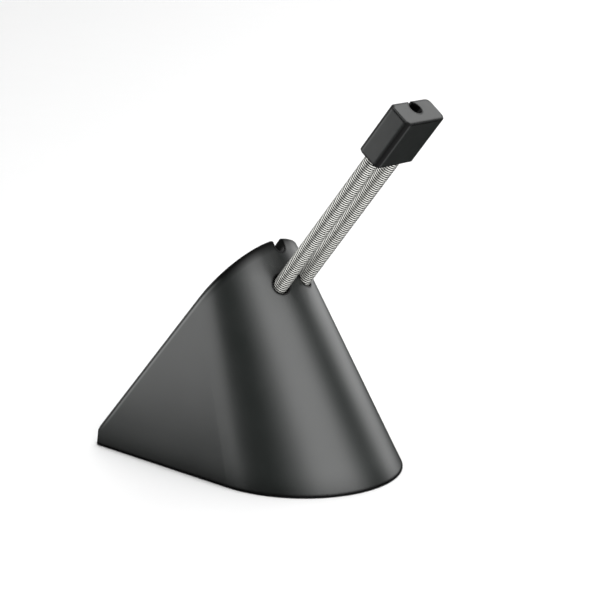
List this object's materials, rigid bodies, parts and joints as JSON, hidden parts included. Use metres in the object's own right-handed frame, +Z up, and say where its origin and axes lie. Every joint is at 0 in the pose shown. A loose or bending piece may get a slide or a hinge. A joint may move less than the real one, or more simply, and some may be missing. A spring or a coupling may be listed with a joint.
{
  "type": "mouse bungee",
  "caption": "Black desk stand with a leaning cone nose, a sloped grooved back and two coil springs that carry a slotted rubber cable holder.",
  "frame": {"origin": "on the desk, under the middle of the overall box", "axes": "+Z up, +X towards the nose and the way the spring arm leans, +Y to the left as seen looking along +X"},
  "size_m": [0.1182, 0.0684, 0.1269],
  "materials": {
    "satin_plastic": "satin black, faint moulded grain",
    "plate_plastic": "matt black",
    "inner_plastic": "matt black, as moulded",
    "spring_wire": "nickel-plated close-wound wire",
    "zinc_screw": "zinc-plated",
    "ballast_steel": "plain stamped plate",
    "head_rubber": "matt dark grey rubber",
    "foot_rubber": "matt black rubber"
  },
  "bodies": {
    "base": {"base_shell": "satin_plastic", "bottom_plate": "plate_plastic", "spring_anchor": "inner_plastic", "anchor_screws": "zinc_screw", "cover_screws": "zinc_screw", "ballast_screws": "zinc_screw", "lower_ballast_plate": "ballast_steel", "upper_ballast_plate": "ballast_steel", "front_right_foot": "foot_rubber", "front_left_foot": "foot_rubber", "rear_right_foot": "foot_rubber", "rear_left_foot": "foot_rubber"},
    "arm": {"left_spring": "spring_wire", "right_spring": "spring_wire"},
    "head": {"cable_head": "head_rubber", "head_core": "inner_plastic"}
  },
  "joints": [
    {"name": "arm_nod", "type": "hinge", "parent": "base", "child": "arm", "pos_m": [0.01231, 0, 0.07111], "axis": [0, 1, 0], "range_deg": [-30, 35], "stiffness_Nm_per_rad": 0.06, "springref_deg": -2.23, "deforming": ["left_spring", "right_spring"]},
    {"name": "arm_sway", "type": "hinge", "parent": "arm", "child": "head", "pos_m": [0.02485, 0, 0.08644], "axis": [-0.7738, 0, 0.6334], "range_deg": [-20, 20], "stiffness_Nm_per_rad": 0.08, "deforming": ["left_spring", "right_spring"]}
  ]
}
